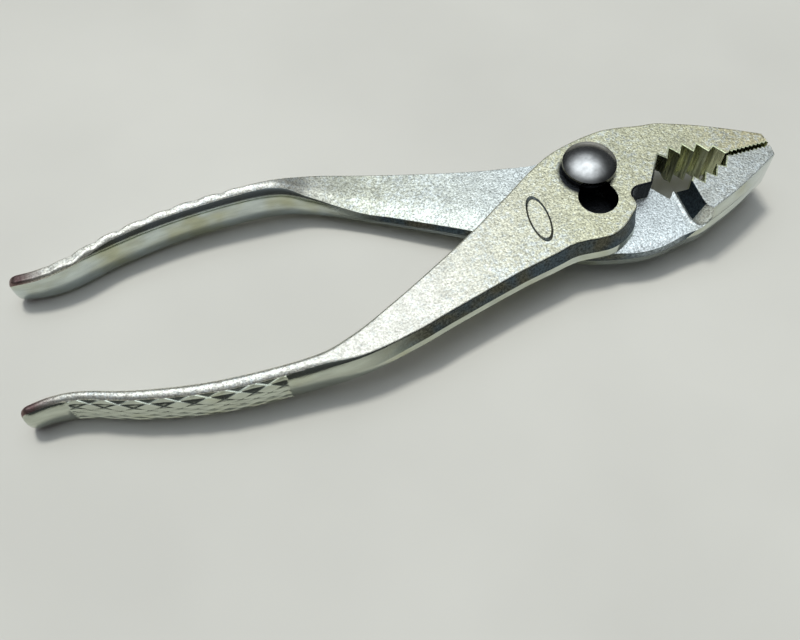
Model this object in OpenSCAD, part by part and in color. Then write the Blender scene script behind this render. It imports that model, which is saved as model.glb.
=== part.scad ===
// Slip joint pliers lying flat, jaws closed, with the pivot bolt in the end of the slot for narrow work.
// The origin is on the pivot axis at the foot of the bolt. X runs along the closed jaws towards the tips and
// Z runs up through the joint. Both halves are one forging: the rear half is the front half turned over.

/* [Joint] */
// Thickness of each half where the two cross
plate_t = 5; // [4:0.1:7]
// Gap between the two halves at the joint
plate_gap = 0.1; // [0.04:0.02:0.3]
// Distance from the jaw line to the pivot axis
pivot_offset = 5.7; // [4.6:0.1:6.6]
// Height of a half's outer edge above the jaw line, at its crown
crown_h = 14.8; // [13.5:0.1:18]
// Distance from the pivot to the crown, towards the tips
crown_x = 6.2; // [4:0.1:9]
// Distance from the pivot to the nose of the boss, towards the tips
boss_nose = 6; // [5.6:0.1:8]
// Depth of the boss's outer edge below the jaw line
boss_drop = 13; // [12:0.1:15]

/* [Jaws] */
// Distance from the pivot to the jaw tips
jaw_length = 40; // [36:0.5:55]
// Width of each jaw at its tip
tip_w = 3; // [2:0.1:5]
// Corner radius of each tip
tip_r = 1.2; // [0.5:0.1:1.8]
// Gap between the closed jaws
jaw_gap = 0.5; // [0.2:0.05:1]
// Distance from the pivot to the shoulder where a jaw takes the whole thickness
shoulder_x = 17.5; // [16.5:0.1:19]
// Slope of the shoulder's wall
shoulder_draft = 21; // [0:1:30]

/* [Pipe grip] */
// Distance from the pivot to the outer end of the toothed opening
grip_end = 29.7; // [28:0.1:33]
// Number of teeth on each jaw
tooth_count = 5; // [4:1:5]
// Spacing of the teeth
tooth_pitch = 3.1; // [2.8:0.05:3.2]
// Height of the tooth tips above the jaw line in the middle of the opening
tooth_tip_h = 3; // [2.2:0.1:3.6]
// Height of the tooth roots above the jaw line in the middle of the opening
tooth_root_h = 5.4; // [4.4:0.1:6.5]

/* [Wire cutter] */
// Distance from the pivot to the corner of the shearing edge
cutter_x = 11.4; // [10:0.1:12.5]
// Depth of the shearing edge below the jaw line
cutter_drop = 2.5; // [1.5:0.1:3.2]
// Corner radius of the cutter notch
notch_r = 1; // [0.4:0.1:2]

/* [Pivot bolt] */
// Diameter of the domed head
head_d = 11.8; // [10.5:0.1:13]
// Height of the head's straight rim
head_rim = 1.6; // [1:0.1:2.5]
// Height of the dome over the rim
dome_h = 1.9; // [1:0.1:3]
// Diameter of the shank in the slot
shank_d = 8; // [7:0.1:8.6]
// Width of the shank across its two flats
flats_w = 6.2; // [5:0.1:6.8]
// Diameter of the stud through the rear half and the nut
stud_d = 6; // [4.5:0.1:6.2]
// Length of the stud that shows below the nut
stud_proud = 0.4; // [0.2:0.1:1]
// Clearance of the bolt in the slot and in the bore, all round
pin_fit = 0.08; // [0.02:0.01:0.1]

/* [Slot] */
// Distance between the two seats of the slot
seat_pitch = 8.3; // [7.5:0.1:9]
// Lean of the slot away from square to the jaw line
slot_lean = 8; // [0:1:15]

/* [Nut] */
// Width of the nut across its flats
nut_af = 10; // [9:0.1:12]
// Height of the nut
nut_h = 3.4; // [2.5:0.1:5]
// Clearance of the nut on the stud, all round
thread_fit = 0.03; // [0.01:0.01:0.08]
// Gap under the bolt's head and over the nut
seat_gap = 0.05; // [0.02:0.01:0.2]

/* [Handles] */
// Distance from the pivot to the handle ends
handle_length = 125; // [105:1:150]
// Distance from the jaw line to the middle of the grip, where the handles are farthest apart
grip_drop = 22.9; // [19:0.1:28]
// Width of the handle where it leaves the joint
root_w = 18.8; // [17:0.1:20]
// Width of the grip
grip_w = 5.1; // [4:0.1:7]
// Width of the handle's end
end_w = 3.7; // [3:0.1:6]
// Depth of the grip, square to the flat of the pliers
grip_depth = 10.5; // [9.5:0.1:13]
// Depth of the handle's end
end_depth = 7.8; // [6:0.1:9]
// Thickness of the handle's neck
neck_t = 4.2; // [3.5:0.1:4.6]
// Radius of the grip's inner corners
grip_r = 1.8; // [1:0.1:2.2]
// Width of the oval rounding on the grip's outer side
grip_oval = 2.5; // [1.5:0.1:3]
// Corner radius of the neck
neck_r = 0.6; // [0.3:0.1:1]
// Rounding of the handle's end
end_r = 1.5; // [0.8:0.1:1.6]

/* [Hidden] */
// Extra length of every cut
cut = 1;
// Steps of a curve between two of its points
curve_steps = 5;
// Steps of a quarter turn on the handle's corners and end
corner_steps = 3;
// Facets shown in a whole turn
$fn = 64;
// Smallest corner radius on the handle's rounded end
least_r = 0.25;
// Largest inner corner and outer oval as shares of half the handle's width, and the oval's share of half its depth
round_shares = [0.8, 1.1, 0.95];
// Step down from the joint's flat to the handle, where the handle leaves it
seam_step = 0.05;
// Angle that a tip's corner turns through
tip_turn = 63;
// Middle of the joint's thickness
mid_z = stud_proud + nut_h + seat_gap + plate_t + plate_gap / 2;
half_gap = plate_gap / 2;
slot_d = shank_d + 2 * pin_fit;
slot_w = flats_w + 2 * pin_fit;
bore_d = stud_d + 2 * pin_fit;
pivot = [0, pivot_offset];
second_seat = pivot - seat_pitch * [sin(slot_lean), cos(slot_lean)];

// Outer edge between the handle's root and the crown: shares of the way along, and of the way up
back_shares = [[0.294, 0.468], [0.573, 0.798]];
// Outer edge between the crown and the tip: shares of the way along, and of the crown's height over the tip
flank_shares = [[0.275, 0.89], [0.373, 0.856], [0.479, 0.746], [0.645, 0.542], [0.837, 0.254]];
// Middle of the toothed opening, as a share of its outer end's distance from the pivot
grip_mid_share = 0.69;
// Fall of the tooth roots at the outer end, as a share of their height
root_fall_share = 0.7;
// Straight side of the boss and start of its round, as shares of the boss's nose and drop
boss_round_shares = [-0.5, 0.46];
// Handle stations, each with shares of: length from the pivot, drop of the grip, narrowing from root to grip,
// narrowing from grip to end, thinning of the neck, deepening to the grip, shallowing to the end
handle_shares = [
    [0.076, 0.088, 0.00, 0.00, 0.1, 0.00, 0.00],
    [0.133, 0.214, 0.00, 0.00, 0.1, 0.00, 0.00],
    [0.215, 0.415, 0.26, 0.00, 0.6, 0.00, 0.00],
    [0.325, 0.667, 0.51, 0.00, 1.0, 0.00, 0.00],
    [0.397, 0.827, 0.66, 0.00, 1.0, 0.00, 0.00],
    [0.480, 0.952, 0.88, 0.00, 1.0, 0.42, 0.00],
    [0.558, 0.992, 1.00, 0.00, 1.0, 1.00, 0.00],
    [0.706, 0.975, 1.00, 0.18, 1.0, 1.00, 0.00],
    [0.831, 0.855, 1.00, 0.58, 1.0, 1.00, 0.05],
    [0.919, 0.705, 1.00, 0.82, 1.0, 1.00, 0.30],
    [0.965, 0.668, 1.00, 0.90, 1.0, 1.00, 0.65],
    [1.000, 0.680, 1.00, 1.00, 1.0, 1.00, 1.00],
];
root_station = 1;

function blend(a, b, share) = a + (b - a) * share;

// One stretch of a smooth curve through b and c, with neighbours a and d
function stretch(a, b, c, d, t) =
    b + t / 2 * ((c - a) + t * ((2 * a - 5 * b + 4 * c - d) + t * (3 * (b - c) + d - a)));

// Smooth curve through all the points
function curve(points, steps) = let (last = len(points) - 1) [
    for (i = [0 : last - 1], k = [0 : steps - 1])
        stretch(points[max(i - 1, 0)], points[i], points[i + 1], points[min(i + 2, last)], k / steps),
    points[last],
];

// Arc of an ellipse, from angle a to angle b
function arc(centre, rx, ry, a, b, steps) = [
    for (k = [0 : steps]) let (t = blend(a, b, k / steps)) centre + [rx * cos(t), ry * sin(t)],
];

// Half of the grip's depth, going over to the handle's end
function grip_half(share) = blend(grip_depth, end_depth, share) / 2;

// A handle station: its place along and across, its width, its lower and upper face, the radius of its inner
// corners, and the width and height of its outer oval
function station(s) = [
    -s[0] * (handle_length - end_r),
    -s[1] * grip_drop,
    root_w + s[2] * (grip_w - root_w) + s[3] * (end_w - grip_w),
    blend(half_gap + s[4] * (plate_t - neck_t), -grip_half(s[6]), s[5]),
    blend(half_gap + plate_t - seam_step, grip_half(s[6]), s[5]),
    blend(neck_r, grip_r, s[5]),
    blend(neck_r, grip_oval, s[5]),
    blend(neck_r, grip_half(s[6]), s[5]),
];
stations = [for (s = handle_shares) station(s)];
spine = curve(stations, curve_steps);

// Direction along the handle at one of the spine's points
function heading(i) = let (
        a = spine[max(i - 1, 0)],
        b = spine[min(i + 1, len(spine) - 1)],
        d = [b[0] - a[0], b[1] - a[1]]
    ) d / norm(d);

// Section of the handle: s is a spine point, h its heading, inset narrows it and ahead moves it along
function section(s, h, inset, ahead) = let (
        half_w = s[2] / 2 - inset,
        low = s[3] + inset,
        high = s[4] - inset,
        mid = (low + high) / 2,
        half_h = (high - low) / 2,
        inner_r = min(max(s[5] - inset, least_r), round_shares[0] * half_w),
        oval_w = min(max(s[6] - inset, least_r), round_shares[1] * half_w),
        oval_h = min(max(s[7] - inset, least_r), round_shares[2] * half_h)
    ) [
        for (q = [0 : 3], k = [0 : corner_steps]) let (
                a = 90 * (q + k / corner_steps),
                outer = q == 0 || q == 3,
                rx = outer ? oval_w : inner_r,
                ry = outer ? oval_h : inner_r,
                across = (outer ? 1 : -1) * (half_w - rx) + rx * cos(a),
                up = mid + (q < 2 ? 1 : -1) * (half_h - ry) + ry * sin(a)
            ) [s[0] + ahead * h[0] - across * h[1], s[1] + ahead * h[1] + across * h[0], up],
    ];

end_turns = [for (k = [1 : corner_steps]) 90 * k / corner_steps];
last_point = len(spine) - 1;
rings = [
    for (i = [0 : last_point]) section(spine[i], heading(i), 0, 0),
    for (a = end_turns) section(spine[last_point], heading(last_point), end_r * (1 - cos(a)), end_r * sin(a)),
];

// The corner where the handle's root meets the joint, on the outer edge (side 1) or on the boss's edge (side -1)
function root_corner(side) = let (
        i = root_station * curve_steps,
        h = heading(i),
        reach = side * spine[i][2] / 2
    ) [spine[i][0] + reach * h[1], spine[i][1] - reach * h[0]];

crown = [crown_x, crown_h];
tip_centre = [jaw_length - tip_r, tip_w - tip_r];
tip_arc = arc(tip_centre, tip_r, tip_r, tip_turn, 0, corner_steps);
outer_edge = curve(concat(
    [root_corner(1)],
    [for (s = back_shares) [
        blend(root_corner(1)[0], crown_x, s[0]), blend(root_corner(1)[1], crown_h, s[1])]],
    [crown],
    [for (s = flank_shares) [blend(crown_x, jaw_length, s[0]), blend(tip_w, crown_h, s[1])]],
    [tip_arc[0]]
), curve_steps);

grip_mid = grip_mid_share * grip_end;
function along_grip(x) = pow((x - grip_mid) / (grip_end - grip_mid), 2);
function tooth_tip(x) = [x, blend(tooth_tip_h, jaw_gap / 2, along_grip(x))];
function tooth_root(x) = [x, tooth_root_h * (1 - root_fall_share * along_grip(x))];
teeth = [
    for (i = [0 : tooth_count - 1], k = [0 : 1])
        k == 0 ? tooth_tip(grip_end - i * tooth_pitch) : tooth_root(grip_end - (i + 1 / 2) * tooth_pitch),
];

boss_centre = [boss_round_shares[0] * boss_nose, -boss_round_shares[1] * boss_drop];
notch_centre = [boss_nose + notch_r, -cutter_drop - notch_r];
boss_edge = concat(
    [[cutter_x, -cutter_drop]],
    arc(notch_centre, notch_r, notch_r, 90, 180, corner_steps),
    arc(boss_centre, boss_nose - boss_centre[0], boss_drop + boss_centre[1], 0, -90, 2 * curve_steps)
);

outline = concat(
    outer_edge,
    [for (i = [1 : len(tip_arc) - 1]) tip_arc[i]],
    [[jaw_length, jaw_gap / 2]],
    teeth,
    boss_edge,
    [root_corner(-1)]
);

// Handle as a loft of rounded sections
module handle() {
    n = 4 * (corner_steps + 1);
    rows = len(rings);
    polyhedron(
        points = [for (ring = rings, p = ring) p],
        faces = concat(
            [[for (k = [0 : n - 1]) k]],
            [for (r = [0 : rows - 2], k = [0 : n - 1], side = [0 : 1]) let (
                    a = r * n + k,
                    b = r * n + (k + 1) % n
                ) side == 0 ? [b, a, a + n] : [b, a + n, b + n]],
            [[for (k = [n - 1 : -1 : 0]) (rows - 1) * n + k]]
        )
    );
}

// The room behind the sloped shoulder, where the other half crosses
module relief() {
    reach = handle_length + jaw_length;
    depth = 2 * plate_t;
    rotate([90, 0, 0])
        linear_extrude(2 * reach, center = true)
            polygon([
                [-reach, half_gap],
                [shoulder_x, half_gap],
                [shoulder_x + depth * tan(shoulder_draft), half_gap - depth],
                [-reach, half_gap - depth],
            ]);
}

// The forging that both halves start from, with the jaw line on X and the mating face at half the gap
module blank() {
    union() {
        difference() {
            linear_extrude(2 * plate_t + plate_gap, center = true)
                polygon(outline);
            relief();
        }
        handle();
    }
}

// Figure-eight slot with two round seats
module slot() {
    translate([0, 0, -cut])
        linear_extrude(plate_t + plate_gap + 2 * cut) {
            translate(pivot) circle(d = slot_d);
            translate(second_seat) circle(d = slot_d);
            translate(second_seat)
                rotate(-slot_lean)
                    translate([-slot_w / 2, 0])
                        square([slot_w, seat_pitch]);
        }
}

module on_pivot() {
    translate([0, -pivot_offset, mid_z]) children();
}

module front_half() {
    color("silver")
        on_pivot()
            difference() {
                blank();
                slot();
            }
}

module rear_half() {
    color("lightsteelblue")
        on_pivot()
            difference() {
                rotate([180, 0, 0]) blank();
                translate([0, pivot_offset, -half_gap - plate_t - cut])
                    cylinder(d = bore_d, h = plate_t + 2 * cut);
            }
}

module pivot_bolt() {
    head_z = mid_z + half_gap + plate_t + seat_gap;
    dome_r = (pow(head_d / 2, 2) + pow(dome_h, 2)) / (2 * dome_h);
    color("gainsboro")
        union() {
            cylinder(d = stud_d, h = mid_z + half_gap);
            rotate(-slot_lean)
                translate([0, 0, mid_z])
                    linear_extrude(head_z + head_rim - mid_z)
                        intersection() {
                            circle(d = shank_d);
                            square([flats_w, 2 * shank_d], center = true);
                        }
            intersection() {
                translate([0, 0, head_z]) cylinder(d = head_d, h = head_rim + dome_h);
                translate([0, 0, head_z + head_rim + dome_h - dome_r]) sphere(r = dome_r);
            }
        }
}

module pivot_nut() {
    corner_d = nut_af / cos(30);
    cone_h = corner_d / 2;
    color("darkgray")
        translate([0, 0, stud_proud])
            difference() {
                intersection() {
                    cylinder(d = corner_d, h = nut_h, $fn = 6);
                    cylinder(r1 = nut_af / 2, r2 = nut_af / 2 + cone_h / tan(30), h = cone_h);
                }
                translate([0, 0, -cut])
                    cylinder(d = stud_d + 2 * thread_fit, h = nut_h + 2 * cut);
            }
}

front_half();
rear_half();
pivot_bolt();
pivot_nut();
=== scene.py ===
import math

import bmesh
import bpy
from bpy.props import FloatProperty, FloatVectorProperty, IntProperty, PointerProperty
from bpy.types import Operator, Panel, PropertyGroup
from mathutils import Matrix, Vector


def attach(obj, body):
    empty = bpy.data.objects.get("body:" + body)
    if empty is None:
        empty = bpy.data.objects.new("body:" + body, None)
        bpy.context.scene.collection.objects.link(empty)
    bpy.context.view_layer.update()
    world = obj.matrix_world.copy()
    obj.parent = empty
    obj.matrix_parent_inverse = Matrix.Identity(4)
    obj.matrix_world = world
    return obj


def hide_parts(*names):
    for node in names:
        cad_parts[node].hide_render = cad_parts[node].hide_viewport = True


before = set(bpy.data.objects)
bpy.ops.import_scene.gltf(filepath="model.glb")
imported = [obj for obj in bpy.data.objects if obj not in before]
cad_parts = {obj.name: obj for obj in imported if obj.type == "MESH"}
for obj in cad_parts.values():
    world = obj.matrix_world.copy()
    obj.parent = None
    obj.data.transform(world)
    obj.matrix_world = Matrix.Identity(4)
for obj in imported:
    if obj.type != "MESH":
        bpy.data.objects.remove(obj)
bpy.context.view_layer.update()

bl_info = {
    "name": "Slip joint pliers",
    "version": (1, 0, 0),
    "blender": (4, 5, 0),
    "location": "3D View > Sidebar > Pliers",
    "description": "Forged halves, pivot bolt and nut of a pair of slip joint pliers, dressed over the packed solids",
    "category": "Object",
}

MM = 0.001
LONGEST = 200 * MM
# Finishes of a half, in the order of its materials; the last paints shade on the drafted walls
FORGED, TRIMMED, CUT, SHADED_WALL = 0, 1, 2, 3


def length(name, description, millimetres):
    """A length property that is written in millimetres."""
    return FloatProperty(name=name, description=description, default=millimetres * MM, min=0, max=LONGEST,
                         subtype="DISTANCE", unit="LENGTH", precision=4)


def angle(name, description, degrees):
    """An angle property that is written in degrees."""
    return FloatProperty(name=name, description=description, default=math.radians(degrees), subtype="ANGLE",
                         unit="ROTATION")


def colour(name, description, default):
    """A plain colour property."""
    return FloatVectorProperty(name=name, description=description, default=default, size=3, min=0, max=1,
                               subtype="COLOR")


class ForgingSizes(PropertyGroup):
    """Sizes of the joint and the jaws, the same on both halves"""

    plate_t: length("Plate thickness", "Thickness of each half where the two cross", 5)
    plate_gap: length("Plate gap", "Gap between the two halves at the joint", 0.1)
    mid_z: length("Joint middle", "Height of the joint's middle over the foot of the bolt", 8.9)
    pivot_offset: length("Pivot offset", "Distance from the jaw line to the pivot axis", 5.7)
    crown_h: length("Crown height", "Height of the outer edge above the jaw line, at its crown", 14.8)
    crown_x: length("Crown place", "Distance from the pivot to the crown", 6.2)
    boss_nose: length("Boss nose", "Distance from the pivot to the nose of the boss", 6)
    boss_drop: length("Boss drop", "Depth of the boss's outer edge below the jaw line", 13)
    jaw_length: length("Jaw length", "Distance from the pivot to the jaw tips", 40)
    tip_w: length("Tip width", "Width of each jaw at its tip", 3.3)
    tip_r: length("Tip radius", "Corner radius of each tip", 0.5)
    jaw_gap: length("Jaw gap", "Gap between the closed jaws", 0.5)
    shoulder_x: length("Shoulder place", "Distance from the pivot to the shoulder of the jaw", 17.5)
    shoulder_r: length("Shoulder corner", "Radius of the shoulder's outer corner", 2.7)
    shoulder_fillet: length("Shoulder fillet", "Width of the fillet at the shoulder's foot", 0.8)
    grip_end: length("Pipe grip end", "Distance from the pivot to the outer end of the toothed opening", 29.7)
    tooth_pitch: length("Tooth pitch", "Spacing of the teeth", 3.1)
    tooth_tip_h: length("Tooth tips", "Height of the tooth tips above the jaw line", 3)
    tooth_root_h: length("Tooth roots", "Height of the tooth roots above the jaw line", 5.4)
    tooth_count: IntProperty(name="Teeth", description="Number of teeth on each jaw", default=5, min=3, max=6)
    cutter_x: length("Cutter place", "Distance from the pivot to the corner of the shearing edge", 11.4)
    cutter_drop: length("Cutter drop", "Depth of the shearing edge below the jaw line", 2.3)
    notch_r: length("Notch radius", "Corner radius of the cutter notch", 2.3)
    face_fall: length("Face rounding", "How far the mating face falls away toward its outer edge", 0.62)
    oval_l: length("Oval length", "Length of the plain oval pressed into the front half", 11.2)
    oval_w: length("Oval width", "Width of the plain oval pressed into the front half", 4.2)
    oval_line: length("Oval line", "Width of the oval's groove", 0.42)
    oval_place: FloatVectorProperty(name="Oval place", default=(-15.0 * MM, -3.9 * MM), size=2, subtype="XYZ",
                                    description="Middle of the oval, from the jaw line under the pivot",
                                    unit="LENGTH", precision=4)
    oval_lean: angle("Oval lean", "Lean of the oval", -2)
    edge_r: length("Edge rounding", "Rounding of the forged edges", 0.55)
    cut_r: length("Cut edge rounding", "Rounding of the edges of teeth and cutter", 0.18)
    crown_bulge: length("Outer bulge", "How far the jaw's outer wall bulges at its flash line", 0.5)
    crown_foot: length("Outer foot", "How far the jaw's outer wall lies out at the mating face", 0.1)
    boss_inset: length("Boss inset", "How far the boss's top edge lies in from the plan", 0.4)
    boss_bulge: length("Boss bulge", "How far the boss's wall lies out at its flash line", 0.6)
    boss_foot: length("Boss foot", "How far the boss's wall lies out at the mating face", 1.0)
    nose_inset: length("Nose inset", "How far the top edge lies in at the nose of the boss", 1.0)
    serration_p: length("Serration pitch", "Spacing of the fine serrations on the jaw flats", 0.95)
    serration_h: length("Serration height", "Height of the fine serrations on the jaw flats", 0.45)
    seat_r: length("Seat radius", "Radius of the slot's two seats", 4.08)
    seat_pitch: length("Seat pitch", "Distance between the two seats of the slot", 8.3)
    slot_w: length("Slot width", "Width of the slot between its seats", 6.36)
    bore_r: length("Bore radius", "Radius of the rear half's bore", 3.08)
    shoulder_draft: angle("Shoulder slope", "Slope of the shoulder's wall", 21)
    slot_lean: angle("Slot lean", "Lean of the slot away from square to the jaw line", 8)


class HandleSizes(PropertyGroup):
    """Sizes of the handles and their knurled grips"""

    handle_length: length("Handle length", "Distance from the pivot to the handle ends", 125)
    grip_drop: length("Grip drop", "Distance from the jaw line to the middle of the grip", 22.9)
    root_w: length("Root width", "Width of the handle where it leaves the joint", 18.8)
    grip_w: length("Grip width", "Width of the grip", 5.1)
    end_w: length("End width", "Width of the handle's end", 3.7)
    grip_depth: length("Grip depth", "Depth of the grip", 10.5)
    end_depth: length("End depth", "Depth of the handle's end", 7.8)
    neck_t: length("Neck thickness", "Thickness of the handle's neck", 4.2)
    neck_fall: length("Neck rounding", "How far the neck's mating side falls away toward its inner edge", 0.8)
    oval_out: length("Outer oval", "Width of the broad slope on the grip's outer side", 2.5)
    oval_in: length("Inner oval", "Width of the rounding on the grip's inner side", 2.0)
    slope_h: length("Slope height", "Height of the broad slope on the grip's outer side", 2.7)
    end_r: length("End rounding", "Rounding of the handle's end", 2.2)
    knurl_start: length("Knurl start", "Distance from the pivot to the start of the knurling", 71.8)
    knurl_end: length("Knurl end", "Distance from the pivot to the end of the knurling", 117.2)
    diamond_l: length("Diamond length", "Length of a diamond along the grip", 5.7)
    knurl_shift: FloatProperty(name="Knurl shift", default=8,
                               description="Shift of the diamonds along the grip, in sixteenths")
    knurl_rise: FloatProperty(name="Knurl rise", default=6,
                              description="Shift of the diamonds around the grip, in sixteenths")
    line_h: length("Line height", "Height of the raised lines between the diamonds", 0.09)
    scallop: length("Scallops", "Depth of the scallops where the knurl runs out at the grip's edge", 0.3)
    pocket: length("Pocket depth", "How far the diamonds fall in toward their middles", 0.2)


class BoltSizes(PropertyGroup):
    """Sizes of the pivot bolt and its nut"""

    head_r: length("Head radius", "Radius of the domed head", 5.9)
    head_rim: length("Head rim", "Height of the head's straight rim", 1.6)
    dome_h: length("Dome height", "Height of the dome over the rim", 1.89)
    shank_r: length("Shank radius", "Radius of the shank in the slot", 4)
    flats_w: length("Flats", "Width of the shank across its two flats", 6.2)
    stud_r: length("Stud radius", "Radius of the stud through the rear half", 3)
    seat_gap: length("Seat gap", "Gap under the head and over the nut", 0.05)
    nut_af: length("Nut across flats", "Width of the nut across its flats", 10)
    nut_h: length("Nut height", "Height of the nut", 3.4)
    stud_proud: length("Stud end", "Length of the stud that shows below the nut", 0.4)


class FinishColours(PropertyGroup):
    """Colours of the plating, the bolt and the floor"""

    zinc_bright: colour("Bright zinc", "Pale places of the zinc plate on the handles", (1.0, 0.97, 0.85))
    zinc_warm: colour("Warm zinc", "Yellowish places of the zinc plate at the joint", (0.84, 0.82, 0.58))
    zinc_grey: colour("Grey zinc", "Greyish places of the zinc plate on the rear neck", (0.70, 0.71, 0.58))
    zinc_cool: colour("Cool zinc", "Bluish places of the zinc plate", (0.92, 0.98, 0.97))
    jaw_yellow: colour("Front jaw", "Plate at the front jaw's tip", (0.88, 0.80, 0.50))
    jaw_grey: colour("Rear jaw", "Plate on the rear half's jaw", (0.74, 0.76, 0.70))
    # Painted shade: the drafted walls' colours are darkened to stand for their shade, bluish toward the jaw and
    # lighter at the boss's nose
    wall_shade_warm: colour("Warm wall", "Yellowish places of the drafted walls", (0.092, 0.092, 0.07))
    wall_shade_pale: colour("Pale wall", "Paler place of the walls at the boss's nose", (0.27, 0.31, 0.33))
    wall_shade_cool: colour("Cool wall", "Bluish places of the drafted walls", (0.066, 0.09, 0.108))
    trimmed: colour("Trimmed band", "Smooth bands where the flash was trimmed", (0.62, 0.68, 0.66))
    stain: colour("Stain", "Yellowish green stains on the smooth bands", (0.50, 0.52, 0.38))
    cut_steel: colour("Cut steel", "Cut walls of the teeth and the slot", (0.61, 0.64, 0.42))
    bolt_grey: colour("Bolt", "Polished head of the bolt", (0.47, 0.47, 0.46))
    # Painted shade: near-black colour put in the slot, the cutter notch, behind the teeth nearest the pivot, round
    # and under the bolt's head and on the hidden nut
    painted_shade: colour("Grease", "Dark grease in the slot and the cutter notch", (0.025, 0.027, 0.03))
    tarnish: colour("Tarnish", "Reddish brown tarnish on the handle ends", (0.17, 0.085, 0.085))
    floor: colour("Floor", "Pale floor under the pliers", (0.555, 0.555, 0.525))


class StageSettings(PropertyGroup):
    """Floor, lamp, room light and camera"""

    floor_tilt: angle("Floor tilt", "Tilt at which the bolt and both handles touch the floor", 2)
    lens: FloatProperty(name="Lens", description="Focal length of the camera", default=40.5, unit="CAMERA")
    key_power: FloatProperty(name="Key lamp", description="Power of the lamp behind the pliers", default=88.6,
                             unit="POWER")
    world: FloatProperty(name="Room light", description="Strength of the room's light overhead", default=2.4)
    dim: FloatProperty(name="Dim side", description="Share of the room's light at the horizon", default=0.02,
                       min=0, max=1)
    bright_side: FloatVectorProperty(name="Bright side", description="Direction of the room's brightest place",
                                     default=(0.0, 0.22, 1.0), size=3, subtype="DIRECTION")
    floor_r: FloatProperty(name="Floor radius", description="Radius of the flat part of the floor", default=2.0,
                           subtype="DISTANCE", unit="LENGTH")


# Shares that shape the outer edge and the handle, each of a size above
BACK_SHARES = ((0.294, 0.468), (0.573, 0.798))
FLANK_SHARES = ((0.275, 0.89), (0.373, 0.856), (0.479, 0.746), (0.645, 0.542), (0.837, 0.254))
GRIP_MID_SHARE = 0.69
ROOT_FALL_SHARE = 0.7
BOSS_ROUND_SHARES = (-0.5, 0.46)
# Handle stations: length, drop, narrowing to the grip, narrowing to the end, thinning, deepening, shallowing
HANDLE_SHARES = (
    (0.076, 0.088, 0.00, 0.00, 0.1, 0.00, 0.00),
    (0.133, 0.211, 0.03, 0.00, 0.1, 0.00, 0.00),
    (0.215, 0.400, 0.31, 0.00, 0.6, 0.00, 0.00),
    (0.325, 0.648, 0.58, 0.00, 1.0, 0.00, 0.00),
    (0.397, 0.806, 0.73, 0.00, 1.0, 0.00, 0.00),
    (0.480, 0.952, 0.88, 0.00, 1.0, 0.42, 0.00),
    (0.558, 0.992, 1.00, 0.00, 1.0, 1.00, 0.00),
    (0.706, 0.975, 1.00, 0.18, 1.0, 1.00, 0.00),
    (0.831, 0.855, 1.00, 0.58, 1.0, 1.00, 0.05),
    (0.919, 0.705, 1.00, 0.82, 1.0, 1.00, 0.30),
    (0.965, 0.668, 1.00, 0.90, 1.0, 1.00, 0.65),
    (1.000, 0.680, 1.00, 1.00, 1.0, 1.00, 1.00),
)
ROOT_STATION = 1
SPINE_STEPS = 30
# Counts: levels of a wall over and under the mating face, places across the handle, steps of the outline
LEVELS, LOW_LEVELS, ACROSS = 96, 12, 12
EDGE_STEPS, TIP_STEPS, NOTCH_STEPS, BOSS_STEPS, BEND_STEPS = 10, 6, 8, 30, 6
# Shares of a wall's levels: rounding of the foot, rise to the flash line, draft above it, rounding of the top edge
FOOT_BAND, FLASH_BAND, DRAFT_BAND, EDGE_BAND = 0.14, 0.26, 0.44, 0.16
FLASH_SHARE = 0.33
CUT_REACH = 2.2
# Outline: the tip's first direction in degrees, the bulge's fade to the tip, room left by the last serration
TIP_TURN = 63
TIP_FADE = 9 * MM
LAST_SERRATION = 0.3
# Boss: shares of its bulge and foot at the nose, shares of its arc over which they change, and its bend to the handle
NOSE_BULGE, NOSE_FOOT = 0.1, 0.3
NOSE_RUN, SIDE_START, ROUND_RUN = 0.4, 0.5, 0.3
BEND_REACH = 0.36
# Limits to the lengthening of the outward direction at sharp corners
OUTLINE_CORNER, STACK_CORNER = 0.55, 0.5
# Lengths that count as nothing: in a division, between two places, and between two vertices of a finished piece
TINY, MERGE, WELD = 1e-9, 1e-7, 1e-6
# Grip section: powers of its ovals, crest, slack to the solid, sharper slope toward the end, foot of the neck
SLOPE_POWER, WALL_POWER = 1.2, 0.75
CREST_SHARE, NECK_CREST = 0.89, 0.93
END_INSET = 0.6
SIDE_SLACK = 0.12 * MM
SLOPE_FILL = 1.4
END_SHARP, SHARP_START, SHARP_RUN = 0.4, 0.82, 0.08
NECK_FOOT_R = 0.3 * MM
NECK_FALL_START = 0.6
# Knurl: steps of a diamond, its border rings and the raised ones among them, its fades and its scallops' reach
DIAMOND_STEPS = 16
BORDER_RINGS, BORDER_LINES = 6, (1, 5)
KNURL_FOOT, FOOT_FADE, CREST_FADE = 3, 4, 2
SCALLOP_REACH, SCALLOP_FADE = (9, 18), 9
# Handle rings: spacing on the neck and past the knurl, rings of the rounded end and how far they fill it
NECK_RING, END_RING = 0.9 * MM, 0.5 * MM
END_RINGS, END_FILL = 8, 0.998
# Finishes of the walls: where the neck ends, the crest's run, and the heights of the drafted walls painted dark as
# shade
NECK_SHARE = 0.5
CREST_RUN = 12 * MM
BOSS_WALL, SIDE_WALL = 0.4, 0.55
JAW_WALL_START, JAW_WALL_RUN = 13 * MM, 8 * MM
# Room behind the shoulder: its far ends, its lip, its fillet's shares, the shoulder's outer edge, the face's fall
RELIEF_BACK, RELIEF_START, RELIEF_REACH = -46 * MM, -5 * MM, 40 * MM
RELIEF_LIP = 0.35 * MM
FILLET_LOW, FILLET_IN, FILLET_UP = 0.6, 0.2, 0.24
SHOULDER_EDGE = 12.7 * MM
FACE_FALL_RUN = 3.2 * MM
CORNER_STEPS = 8
CORNER_SHARE = 0.6
FLAT_NORMAL = 0.75
# Steps round the slot's seats, the oval, the bores, other rounds and the bolt
SEAT_STEPS, OVAL_STEPS, BORE_STEPS, ROUND_STEPS, HEAD_STEPS = 40, 72, 48, 64, 96
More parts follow.
